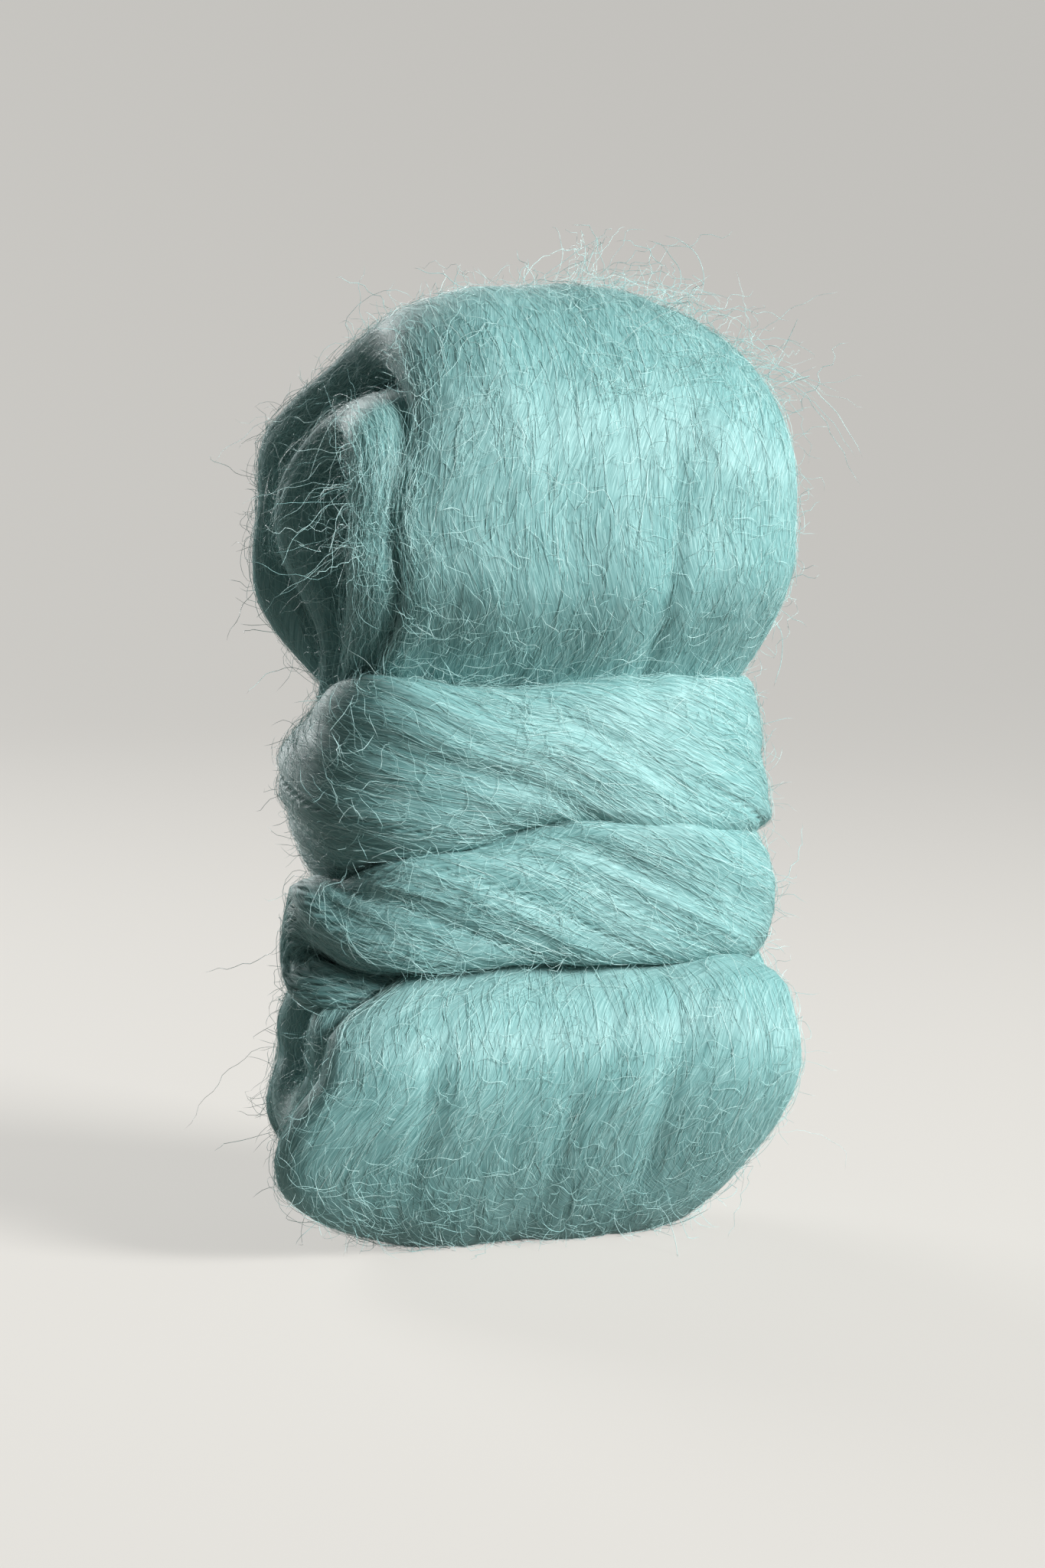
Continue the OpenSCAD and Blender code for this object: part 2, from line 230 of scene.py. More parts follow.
# the loops lean and shift sideways without turning: their width lies straight across
onward[:, 0] *= 1 - ease((run[len(loops)] - along) / 15)
onward /= np.linalg.norm(onward, axis=1)[:, None]
across = at[:, 3:6] - (at[:, 3:6] * onward).sum(1)[:, None] * onward
across /= np.linalg.norm(across, axis=1)[:, None]
through = np.cross(onward, across)

# Pressed wool fills the gaps that the solid leaves: each stretch is thicker by these shares, and the powers
# of its oval give it fuller corners. The parts say how far a ring belongs to a stretch.
LOOP_END, LOOP_FADE, TAIL_FADE, INNER_FADE, CORE_TOP, CORE_FADE = 30, 40, 15, 30, 52, 12
WRAP_WIDER, WRAP_FULL, OUTER_FULL, INNER_FULL, CORE_FULL, END_ROUND = 1.02, 1.25, 1.15, 1.25, 1.6, 5
LEFT_OVAL, RIGHT_OVAL, TAIL_OVAL, OUTER_OVAL, INNER_OVAL = 2.5, 2.9, 2.1, 2.6, 2.7
WRAP_INSIDE_OVAL, LOOP_INSIDE_OVAL = 2.4, 3.2
WIDTH_WAVE, STRAY = 0.014, 0.6
inner_end = run[len(inner_loop)]
loop_part = ease((run[neck_at] - LOOP_END - along) / LOOP_FADE)
tail_part = ease((along - run[tail_at]) / TAIL_FADE)
inner_part = loop_part * ease((inner_end - along) / INNER_FADE)
core_part = inner_part * ease((CORE_TOP - at[:, 2]) / CORE_FADE)
width = at[:, 6] * mix(mix(WRAP_WIDER, 1.0, tail_part), 1.0, loop_part)
loop_full = mix(mix(OUTER_FULL, INNER_FULL, inner_part), CORE_FULL, core_part)
thick = at[:, 7] * mix(mix(WRAP_FULL, 1.0, tail_part), loop_full, loop_part)
rounded = np.sqrt(1 - np.clip(1 - (run[-1] - along) / END_ROUND, 0, 0.995) ** 2)
width, thick = width * rounded, thick * rounded
# the strand is a little wider and narrower, and strays to one side and the other, along its way
width *= 1 + WIDTH_WAVE * (np.sin(along / 9.1) + np.sin(along / 5.3 + 2))
stray = STRAY * loop_part * (np.sin(along / 11.7 + 1) + np.sin(along / 6.3))
t = np.linspace(0, 2 * np.pi, 721)
facing_in = np.sin(t) > 0
wrap_oval = mix(LEFT_OVAL, RIGHT_OVAL, ease(0.5 + at[:, 0] / 40))
outside = mix(mix(wrap_oval, TAIL_OVAL, tail_part), mix(OUTER_OVAL, INNER_OVAL, inner_part), loop_part)
inside = mix(WRAP_INSIDE_OVAL, LOOP_INSIDE_OVAL, loop_part)
oval = np.where(facing_in[None], inside[:, None], outside[:, None])
cos = np.sign(np.cos(t)) * np.abs(np.cos(t)) ** (2 / oval)
sin = np.sign(np.sin(t)) * np.abs(np.sin(t)) ** (2 / oval)
to_side, to_face = cos * width[:, None] / 2, sin * thick[:, None] / 2
paces = np.hypot(np.diff(to_side), np.diff(to_face))
girth = np.concatenate([np.zeros((rings, 1)), np.cumsum(paces, 1)], 1)
place = np.linspace(0, 1, SIDES, endpoint=False)
to_side = np.stack([np.interp(place * g[-1], g, v) for g, v in zip(girth, to_side)])
to_face = np.stack([np.interp(place * g[-1], g, v) for g, v in zip(girth, to_face)])
girth = girth[:, -1]
to_side += stray[:, None]
skin = middle[:, None] + to_side[..., None] * across[:, None] + to_face[..., None] * through[:, None]


def outward(skin):
    """The unit normal at each point of a tube's grid of rings."""
    ahead = np.gradient(skin, axis=0)
    round_it = np.roll(skin, -1, 1) - np.roll(skin, 1, 1)
    n = np.cross(round_it, ahead)
    n /= np.linalg.norm(n, axis=2)[..., None] + 1e-12
    return n


# Winding turns the strand: its fibres run round it at this slope, and straight along it in the loops
TWIST = math.tan(math.radians(25))
twist_rate = TWIST / girth * ease((along - run[neck_at] + 10) / 50)
twist = np.concatenate([[0], np.cumsum((twist_rate[1:] + twist_rate[:-1]) / 2 * np.diff(along))])


def grain(seed, long, wide):
    """Smooth noise of unit spread over the strand's rings and sides, long and wide in millimetres and
    sides, which follows the fibres round the strand."""
    white = np.random.default_rng(seed).normal(size=(rings, SIDES))
    f = np.fft.fftfreq(rings)[:, None] * long / RING_STEP
    g = np.fft.rfftfreq(SIDES)[None] * wide
    field = np.fft.irfft2(np.fft.rfft2(white) * np.exp(-2 * np.pi**2 * (f**2 + g**2) / 4), s=white.shape)
    field /= field.std()
    column = (np.arange(SIDES)[None] - twist[:, None] * SIDES) % SIDES
    low = np.floor(column).astype(int)
    part = column - low
    row = np.arange(rings)[:, None]
    return field[row, low % SIDES] * (1 - part) + field[row, (low + 1) % SIDES] * part


def hump(v, middle, reach):
    """One at a middle value, fading out to both sides of it."""
    return np.exp(-(((v - middle) / reach) ** 2))


LUMP, KNOT, LOCK, RIDGE, WRAP_LOCK = 0.8, 0.3, 0.2, 0.03, 4.0
lock = hump(grain(2, 90, 13), 0, 0.16) * ease(0.5 + grain(3, 60, 24) / 2)
lock *= mix(WRAP_LOCK, 1.0, loop_part)[:, None]
relief = LUMP * grain(1, 40, 32) + KNOT * grain(5, 16, 9) - LOCK * lock + RIDGE * grain(4, 40, 2.4)
# These views of the skin follow each of the moves below, whose places and sizes are in millimetres
skin_x, skin_y, skin_z = skin[..., 0], skin[..., 1], skin[..., 2]
in_loops = loop_part[:, None]
in_wrap = 1 - in_loops
inner = (along < inner_end)[:, None]
FRONT_FADE = 8
# soft creases in front, where folds of the wool lie against each other: each has its place across, middle
# height, reach up and down, depth and width
CREASE_Y, CREASE_FADE, CREASE_LEAN = -8, 6, 0.05
for x, z, reach, depth, wide in (
    (16, 113, 22, 1.3, 2.4), (-1, 18, 15, 1.0, 2.4), (16, 23, 14, 1.2, 2.4), (-25, 24, 12, 1.0, 2.6)
):
    front = ease((CREASE_Y - skin_y) / CREASE_FADE) * np.exp(-(((skin_z - z) / reach) ** 4))
    relief -= depth * front * hump(skin_x - CREASE_LEAN * (skin_z - z), x, wide)
skin += outward(skin) * relief[..., None]
# the eye of the inner loop is pressed shut in a wavy line, and stays open at its left end
HIGH_EYE_END, LOW_EYE_END, EYE_FADE, EYE_DEPTH, EYE_SHUT, EYE_WAVE = -26, -10, 9, 7, 0.97, 1.3
eye_end = np.where(skin_z > WAIST_Z, HIGH_EYE_END, LOW_EYE_END)
shut = ease((skin_x - eye_end) / EYE_FADE) * ease((EYE_DEPTH - np.abs(skin_y)) / 2)
shut *= EYE_SHUT * ease(to_face / 4) * inner
skin_y[:] = mix(skin_y, EYE_WAVE * np.sin(skin_z / 6), shut)
# at the left the inner loop bulges forward, and a little outward, beside the front of the outer one
BULGE_X, BULGE_FADE, BULGE_OUT = -13, 15, 0.35
HIGH_BULGE, HIGH_BULGE_Z, LOW_BULGE, LOW_BULGE_Z = 11.5, 88, 3, 50
bulge = ease((BULGE_X - skin_x) / BULGE_FADE) * ease(-skin_y / 6) * inner
bulge *= HIGH_BULGE * ease((skin_z - HIGH_BULGE_Z) / 30) + LOW_BULGE * ease((LOW_BULGE_Z - skin_z) / 10)
skin_x -= BULGE_OUT * bulge
skin_y -= bulge
# the front of each lobe draws in below its fullest height
LOW_DRAW, LOW_DRAW_Z, HIGH_DRAW, HIGH_DRAW_Z, HIGH_DRAW_FADE, HIGH_DRAW_END = 0.24, 38, 0.07, 114, 20, 80
draw = LOW_DRAW * ease((LOW_DRAW_Z - skin_z) / LOW_DRAW_Z)
draw += HIGH_DRAW * ease((HIGH_DRAW_Z - skin_z) / HIGH_DRAW_FADE) * (skin_z > HIGH_DRAW_END)
skin_y *= 1 - in_loops * ease(-skin_y / FRONT_FADE) * draw
# the winding's upper edge rises at its left end and sinks beside it
EDGE_Z, EDGE_FADE, EDGE_RISE, RISE_X, EDGE_SINK, SINK_X = 82, 8, 2.4, -29, 1.4, -9
edge = in_wrap * ease(-skin_y / FRONT_FADE) * ease((skin_z - EDGE_Z) / EDGE_FADE)
skin_z += edge * (EDGE_RISE * hump(skin_x, RISE_X, 8) - EDGE_SINK * hump(skin_x, SINK_X, 9))
# the lower turn droops onto the lower lobe at the left, up to the start of the hook
DROOP, DROOP_Z, DROOP_FADE, DROOP_RIGHT, DROOP_LEFT = 3.2, 68, 16, 22, -48
hook_start = run[tail_at + len(tail_run) + 10]
droop = in_wrap * ease((hook_start - along) / 12)[:, None]
droop = droop * ease(-skin_y / FRONT_FADE) * ease((DROOP_Z - skin_z) / DROOP_FADE)
skin_z -= DROOP * droop * ease((DROOP_RIGHT - skin_x) / 40) * ease((skin_x - DROOP_LEFT) / 16)
# the turns of the winding run into each other on the right, where the groove between them fills
GROOVE_FILL, GROOVE_W, FILL_X, FILL_Y = 1.0, 3.2, -14, -4
turn_at = np.degrees(np.arctan2(at[:, 0], at[:, 1])) % 360
turned = np.interp(along, run[neck_at:tail_at], np.linspace(WRAP_START, WRAP_END, tail_at - neck_at))
turn_at += 360 * np.round((turned - turn_at) / 360)
other = np.where(turn_at < 240, 360, -360)
groove = (wrap_z(turn_at) + wrap_z(turn_at + other)) / 2
near = hump(skin_z, groove[:, None], GROOVE_W) * ease((skin_x - FILL_X) / 24) * ease((FILL_Y - skin_y) / 10)
near *= in_wrap * (1 - tail_part)[:, None]
around = skin[..., :2] / np.linalg.norm(skin[..., :2], axis=2)[..., None]
skin[..., :2] += GROOVE_FILL * near[..., None] * around
# both lobes are rounded out at the left: the upper, the foot of the lower in front, and its back
HIGH_OUT, HIGH_OUT_Z, FOOT_OUT, FOOT_OUT_Z, BACK_OUT, BACK_OUT_Z, OUT_X = 2.0, 122, 3.0, 13, 2.0, 38, -18
leftward = HIGH_OUT * hump(skin_z, HIGH_OUT_Z, 16)
leftward += FOOT_OUT * hump(skin_z, FOOT_OUT_Z, 9) * (1 - inner) * ease((14 - skin_y) / 16)
leftward += BACK_OUT * hump(skin_z, BACK_OUT_Z, 8) * ease((skin_y + 8) / 10)
skin_x -= in_loops * leftward * ease((OUT_X - skin_x) / 18)
# the top falls away to the right and, more, behind on the left; the lower shoulder is higher on the right
CREST_Z, CREST_FADE, CREST_SLOPE, BACK_FALL, SHOULDER_Z, SHOULDER_SLOPE = 112, 42, 0.05, 4, 46, 0.06
high = in_loops * ease((skin_z - CREST_Z) / CREST_FADE)
behind = ease((skin_y + 4) / 28) * ease((25 - skin_x) / 40)
skin_z -= high * (CREST_SLOPE * np.maximum(skin_x + 4, 0) + BACK_FALL * behind)
skin_z += in_loops * SHOULDER_SLOPE * skin_x * hump(skin_z, SHOULDER_Z, 9)
np.maximum(skin_z, 0.0, out=skin_z)
normal = outward(skin)

# Each piece lies flat in its bake map, inside a margin, and its two closed ends share a corner of the map
MAP_EDGE, MAP_SPAN, MAP_CORNER = 0.005, 0.98, 0.995


def strand_piece(name, first, last):
    """The strand from one ring to another, as a closed tube with the fibres' lie as its map."""
    count = last - first
    ring = np.arange(count)[:, None] * SIDES
    side = np.arange(SIDES)[None]
    nxt = (side + 1) % SIDES
    quads = np.stack([ring + side, ring + nxt, ring + SIDES + nxt, ring + SIDES + side], 2).reshape(-1, 4)
    caps = [list(range(SIDES - 1, -1, -1)), list(range(count * SIDES, count * SIDES + SIDES))]
    mesh = bpy.data.meshes.new(name)
    mesh.from_pydata((skin[first:last + 1].reshape(-1, 3) * MM).tolist(), [], quads.tolist() + caps)
    mesh.polygons.foreach_set("use_smooth", np.ones(len(mesh.polygons), bool))
    row = np.stack([np.arange(count)] * 4, 1)[:, None] + np.array([0, 0, 1, 1])
    col = np.arange(SIDES)[:, None] + np.array([0, 1, 1, 0])
    row, col = np.broadcast_arrays(row, col[None])
    ring_at = along[first + row]
    lie = np.stack([ring_at, (col / SIDES - twist[first + row]) * girth[first + row]], -1).reshape(-1, 2)
    flat = MAP_EDGE + MAP_SPAN * np.stack([row / count, col / SIDES], -1).reshape(-1, 2)
    ends = np.zeros((2 * SIDES, 2))
    for layer, places, end in (("lie", lie, ends), ("OFBake", flat, ends + MAP_CORNER)):
        uv = mesh.uv_layers.new(name=layer)
        uv.data.foreach_set("uv", np.concatenate([places, end]).astype(np.float32).ravel())
    mesh.update()
    mesh.normals_split_custom_set_from_vertices(normal[first:last + 1].reshape(-1, 3).tolist())
    piece = bpy.data.objects.new(name, mesh)
    bpy.context.collection.objects.link(piece)
    return piece


wool_loops = strand_piece("wool_loops", marks[0], marks[1])
wool_wrap = strand_piece("wool_wrap", marks[1], marks[2])
wool_tail = strand_piece("wool_tail", marks[2], marks[3])


def linear(code):
    """An sRGB hex value as linear red, green, blue and alpha."""
    parts = [int(code[i:i + 2], 16) / 255 for i in (1, 3, 5)]
    return [p / 12.92 if p <= 0.04045 else ((p + 0.055) / 1.055) ** 2.4 for p in parts] + [1.0]


def add(tree, kind, values=(), links=(), stops=(), **settings):
    """A shader node with its settings, its sockets' values, its links and a ramp's colour stops."""
    made = tree.nodes.new("ShaderNode" + kind)
    for i, (place, code) in enumerate(stops):
        stop = made.color_ramp.elements[i] if i < 2 else made.color_ramp.elements.new(place)
        stop.position, stop.color = place, linear(code)
    for name, value in settings.items():
        setattr(made, name, value)
    for socket, value in dict(values).items():
        made.inputs[socket].default_value = value
    for socket, source in dict(links).items():
        tree.links.new(source, made.inputs[socket])
    return made


def new_material(name):
    material = bpy.data.materials.new(name)
    material.use_nodes = True
    material.node_tree.nodes.clear()
    return material, material.node_tree


# Combed wool in the mass: dyed fibres side by side, whose crimp breaks their shine into short streaks along
# their lie. Its colour is painted darker than the fibres that lie over it, as painted shade in the gaps
# between them. Its streaks are the wool's random tone, with painted highlights of the crimp and painted
# shade beside them. A fibre is really 0.03 mm wide, and the finest streak is drawn 0.22 mm wide so that it
# shows.
body_wool, tree = new_material("combed_wool_mass")
lie = add(tree, "UVMap", uv_map="lie")
crimp_map = add(tree, "Mapping", {"Scale": (1 / 3.5, 1 / 1.5, 1)}, {"Vector": lie.outputs["UV"]})
crimp = add(tree, "TexNoise", {"Scale": 1.0, "Detail": 1.0}, {"Vector": crimp_map.outputs[0]})
bent = add(
    tree, "VectorMath", {1: (0, 0.9, 0)}, {0: crimp.outputs["Color"], 2: lie.outputs["UV"]},
    operation="MULTIPLY_ADD",
)
fine_map = add(tree, "Mapping", {"Scale": (1 / 2.8, 1 / 0.22, 1)}, {"Vector": bent.outputs[0]})
fine = add(tree, "TexNoise", {"Scale": 1.0, "Detail": 1.0}, {"Vector": fine_map.outputs[0]})
streak_map = add(tree, "Mapping", {"Scale": (1 / 9, 1 / 0.45, 1)}, {"Vector": bent.outputs[0]})
streak = add(tree, "TexNoise", {"Scale": 1.0, "Detail": 2.0}, {"Vector": streak_map.outputs[0]})
cloud_map = add(tree, "Mapping", {"Scale": (1 / 30, 1 / 9, 1)}, {"Vector": lie.outputs["UV"]})
cloud = add(tree, "TexNoise", {"Scale": 1.0, "Detail": 2.0}, {"Vector": cloud_map.outputs[0]})
shade = add(
    tree, "Mix", {"Factor": 0.35}, {"A": fine.outputs["Fac"], "B": streak.outputs["Fac"]}, data_type="FLOAT"
)
shade = add(
    tree, "Mix", {"Factor": 0.2}, {"A": shade.outputs[0], "B": cloud.outputs["Fac"]}, data_type="FLOAT"
)
# painted shade and highlight: the ramp darkens the mass as the shade between the fibres, and lightens its
# streaks as the crimp's highlights
colour = add(
    tree, "ValToRGB", links={"Fac": shade.outputs[0]},
    stops=((0.3, "#437170"), (0.5, "#6B9695"), (0.7, "#95BCBA")),
).outputs["Color"]
bump = add(tree, "Bump", {"Strength": 0.4, "Distance": 0.0003}, {"Height": shade.outputs[0]})
# light glances off the fibres' sides, so the gloss spreads across them
tangent = add(tree, "Tangent", direction_type="UV_MAP", uv_map="lie")
shader = add(
    tree, "BsdfPrincipled",
    {"Roughness": 0.64, "Specular IOR Level": 0.4,
     "Anisotropic": 0.6, "Anisotropic Rotation": 0.25,
     "Sheen Weight": 0.04, "Sheen Roughness": 0.4, "Sheen Tint": linear("#CFEDE8")},
    {"Base Color": colour, "Normal": bump.outputs["Normal"], "Tangent": tangent.outputs[0]},
)
add(tree, "OutputMaterial", links={"Surface": shader.outputs[0]})

for piece, node in ((wool_loops, "folded_loops"), (wool_wrap, "waist_wrap"), (wool_tail, "tucked_tail")):
    piece.data.materials.append(body_wool)
    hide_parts(node)
    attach(piece, "root")

# The surface fibres: the outermost fibres of the strand, each crimped wool hair lying along its
# neighbours, sinking in and coming up again. Each is a closed three-sided tube with two points.
depsgraph = bpy.context.evaluated_depsgraph_get()
solids = [BVHTree.FromObject(piece, depsgraph) for piece in (wool_loops, wool_wrap, wool_tail)]


def sample(grid, ring, side):
    """A grid of the strand's rings read between its points."""
    ring = np.clip(ring, 0, rings - 1.001)
    i, j = np.floor(ring).astype(int), np.floor(side).astype(int)
    u, v = (ring - i)[..., None], (side - j)[..., None]
    j, j2 = j % SIDES, (j + 1) % SIDES
    one = grid[i, j] * (1 - u) + grid[i + 1, j] * u
    two = grid[i, j2] * (1 - u) + grid[i + 1, j2] * u
    return one * (1 - v) + two * v


def ring_of(s):
    return np.interp(s, along, np.arange(rings))


def open_air(points, normals):
    """Which points of the surface lie outside the rest of the hank."""
    free = np.ones(len(points), bool)
    for i, (p, n) in enumerate(zip(points * MM, normals)):
        start, way = Vector(p + n * 0.5 * MM), Vector(n)
        hits = [h for h in (s.ray_cast(start, way) for s in solids) if h[0] is not None]
        if hits:
            _, facing, _, far = min(hits, key=lambda h: h[3])
            free[i] = facing.dot(way) < 0 and far > 1.0 * MM
    return free


def roots(rng, count, first, last, within=None):
    """Places evenly spread over the open surface between two rings, and within a box if one is given."""
    weight = girth[first:last + 1]
    found = []
    while sum(len(f) for f in found) < count:
        ring = first + rng.choice(len(weight), count, p=weight / weight.sum())
        ring = ring + rng.uniform(-0.5, 0.5, count)
        place = np.stack([np.clip(ring, first, last - 0.001), rng.uniform(0, SIDES, count)], 1)
        if within is not None:
            point = sample(skin, *place.T)
            place = place[np.all((point > within[0]) & (point < within[1]), axis=1)]
        free = open_air(sample(skin, *place.T), sample(normal, *place.T))
        found.append(place[free])
    return np.concatenate(found)[:count].T


# A fibre's crimp has waves of this least and greatest length, and its root lies this far under the surface
LYING_WAVE, CURL_WAVE, STRAY_WAVE, SUNK = (2.8, 5), (4, 9), (4, 8), 0.2
CURL_TURN, CURL_SWING, CURL_LIFT, STRAY_CRIMP = 0.1, (0.2, 0.7), 0.15, 0.35


def lying(rng, ring, side, lengths, steps, sway, crimp, heights, loose=False):
    """Crimped fibres that follow the strand's lie from their roots, as rows of points."""
    count = len(ring)
    t = np.linspace(-0.5, 0.5, steps + 1)[None]
    s0 = np.interp(ring, np.arange(rings), along)[:, None]
    reach = t * lengths[:, None]
    s = s0 + reach
    place = ring_of(s)
    wave = np.sin(2 * np.pi * (reach / rng.uniform(*LYING_WAVE, (count, 1)) + rng.random((count, 1))))
    off = (rng.normal(0, sway, (count, 1)) * reach + crimp * wave) / np.interp(s, along, girth)
    turned = np.interp(s, along, twist) - np.interp(s0, along, twist)
    column = side[:, None] + (turned + off) * SIDES
    lift = heights[:, None] * ((t + 0.5) ** 1.4 if loose else np.cos(np.pi * t)) - SUNK
    return sample(skin, place, column) + sample(normal, place, column) * lift[..., None]


def curls(rng, ring, side, lengths, steps, heights):
    """Fibres that curl over the surface across the strand's lie, as rows of points."""
    count = len(ring)
    t = np.linspace(0, 1, steps + 1)[None]
    step = lengths[:, None] / steps
    reach = t * lengths[:, None]
    heading = rng.uniform(0, 2 * np.pi, (count, 1)) + rng.normal(0, CURL_TURN, (count, 1)) * reach
    swing = rng.uniform(*CURL_SWING, (count, 1))
    wave = np.sin(2 * np.pi * (reach / rng.uniform(*CURL_WAVE, (count, 1)) + rng.random((count, 1))))
    heading = heading + swing * wave
    s0 = np.interp(ring, np.arange(rings), along)[:, None]
    s = s0 + np.cumsum(np.cos(heading) * step, 1)
    over = np.cumsum(np.sin(heading) * step, 1) / np.interp(s, along, girth)
    turned = np.interp(s, along, twist) - np.interp(s0, along, twist)
    place, column = ring_of(s), side[:, None] + (turned + over) * SIDES
    lift = CURL_LIFT + heights[:, None] * np.sin(np.pi * t) ** 0.7
    return sample(skin, place, column) + sample(normal, place, column) * lift[..., None]


def strays(rng, points, heading, lengths, steps, bend):
    """Loose fibres that wander off through the air from their roots, as rows of points."""
    count = len(points)
    step = (lengths / steps)[:, None]
    way = heading / np.linalg.norm(heading, axis=1)[:, None]
    wave, start = rng.uniform(*STRAY_WAVE, (count, 1)), rng.uniform(0, 2 * np.pi, (count, 1))
    tip, roll = rng.normal(size=(count, 3)), rng.normal(size=(count, 3))
    rows = [points]
    for i in range(steps):
        rows.append(rows[-1] + way * step)
        crimp = STRAY_CRIMP * np.sin(2 * np.pi * i * step / wave + start)
        way = way + step * (crimp * tip + bend * roll)
        way /= np.linalg.norm(way, axis=1)[:, None]
    return np.stack(rows, 1)


# Fibres stand this far out at most, to the sides, to the front and back, and up. They stay off the ground,
# thin towards their ends by this share, and each has a cell of the bake map with a margin.
REACH, LEAST_Z, END_SHARE, CELL_EDGE = np.array([54.0, 43.0, 171.0]), 0.1, 0.2, 0.1


def fibre_piece(name, points, radii, tints):
    """Rows of points as closed three-sided tubes that taper to a point at both ends."""
    count, n = points.shape[:2]
    points = np.clip(points, -REACH, REACH)
    points[..., 2] = np.maximum(points[..., 2], LEAST_Z)
    ahead = np.gradient(points, axis=1)
    ahead /= np.linalg.norm(ahead, axis=2)[..., None] + 1e-9
    ref = np.where(np.abs(ahead[:, :1, 2:]) < 0.8, [[[0.0, 0.0, 1.0]]], [[[0.0, 1.0, 0.0]]])
    one = np.cross(ahead, ref)
    one /= np.linalg.norm(one, axis=2)[..., None] + 1e-9
    two = np.cross(ahead, one)
    t = np.linspace(0, 1, n)
    thin = mix(END_SHARE, 1, np.sqrt(np.clip(1 - (2 * t - 1) ** 2, 0, 1)))
    girdle = (radii[:, None] * thin)[..., None]
    angles = 2 * np.pi * np.arange(3) / 3
    body = [points + girdle * (one * math.cos(q) + two * math.sin(q)) for q in angles]
    body = np.stack(body, 2)[:, 1:-1].reshape(count, -1, 3)
    verts = np.concatenate([points[:, :1], body, points[:, -1:]], 1)
    per = verts.shape[1]
    base = np.arange(count)[:, None, None] * per
    j, m = np.arange(n - 3)[:, None], np.arange(3)[None]
    low, high = 1 + 3 * j, 4 + 3 * j
    quads = np.stack([low + m, low + (m + 1) % 3, high + (m + 1) % 3, high + m], 2).reshape(-1, 4)
    m = np.arange(3)
    end = per - 1
    tips = np.concatenate([
        np.stack([0 * m, 1 + (m + 1) % 3, 1 + m], 1),
        np.stack([end + 0 * m, end - 3 + m, end - 3 + (m + 1) % 3], 1),
    ])
    faces = (quads[None] + base).reshape(-1, 4).tolist() + (tips[None] + base).reshape(-1, 3).tolist()
    mesh = bpy.data.meshes.new(name)
    mesh.from_pydata((verts.reshape(-1, 3) * MM).tolist(), [], faces)
    mesh.polygons.foreach_set("use_smooth", np.ones(len(mesh.polygons), bool))
    grid = math.ceil(math.sqrt(count))
    cell = np.stack([np.arange(count) % grid, np.arange(count) // grid], 1)[:, None, None]
    step = np.broadcast_to(j, (n - 3, 3))
    m = np.broadcast_to(np.arange(3)[None], (n - 3, 3))
    corners = [np.stack([m + a, step + b], -1) for a, b in ((0, 0), (1, 0), (1, 1), (0, 1))]
    quad_uv = np.stack(corners, 2).reshape(-1, 4, 2) / [3, n - 1] + [0, 1 / (n - 1)]
    m = np.arange(3)
    low_v, high_v = 0 * m + 1 / (n - 1), 0 * m + 1 - 1 / (n - 1)
    low_tip = np.array([[(m + 0.5) / 3, 0 * m], [(m + 1) / 3, low_v], [m / 3, low_v]])
    high_tip = np.array([[(m + 0.5) / 3, 0 * m + 1.0], [m / 3, high_v], [(m + 1) / 3, high_v]])
    tip_uv = np.concatenate([low_tip.transpose(2, 0, 1), high_tip.transpose(2, 0, 1)])
    uv = [
        ((mix(CELL_EDGE, 1 - CELL_EDGE, part[None]) + cell) / grid).reshape(-1, 2)
        for part in (quad_uv, tip_uv)
    ]
    mesh.uv_layers.new(name="OFBake").data.foreach_set("uv", np.concatenate(uv).astype(np.float32).ravel())
    tint = mesh.attributes.new("tint", "FLOAT", "POINT")
    tint.data.foreach_set("value", np.repeat(tints, per).astype(np.float32))
    mesh.materials.append(fibre_wool)
    piece = bpy.data.objects.new(name, mesh)
    bpy.context.collection.objects.link(piece)
    mesh.update()
    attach(piece, "root")


# A single dyed fibre: a scaly, slightly lustrous hair that took more or less of the dye. Its colours run
# from the wool's teal up to near white: the spread is partly the dye's, and partly a painted highlight of
# outer fibres that catch the light. Real ones are 0.03 mm thick, and are drawn about 0.07 mm thick so that
# they show.
fibre_wool, tree = new_material("dyed_wool_fibre")
tint = add(tree, "Attribute", attribute_name="tint")
# painted highlight: the ramp's palest stops stand in for the glint of fibres in the light, besides their
# uneven dye
colour = add(
    tree, "ValToRGB", links={"Fac": tint.outputs["Fac"]},
    stops=((0.0, "#6FA3A1"), (0.5, "#A0CAC8"), (0.8, "#BBDFDC"), (1.0, "#DDF1EE")),
).outputs["Color"]
shader = add(
    tree, "BsdfPrincipled",
    {"Roughness": 0.4, "Specular IOR Level": 0.5, "Sheen Weight": 0.04, "Sheen Roughness": 0.4,
     "Sheen Tint": linear("#D8F0EC")},
    {"Base Color": colour},
)
add(tree, "OutputMaterial", links={"Surface": shader.outputs[0]})

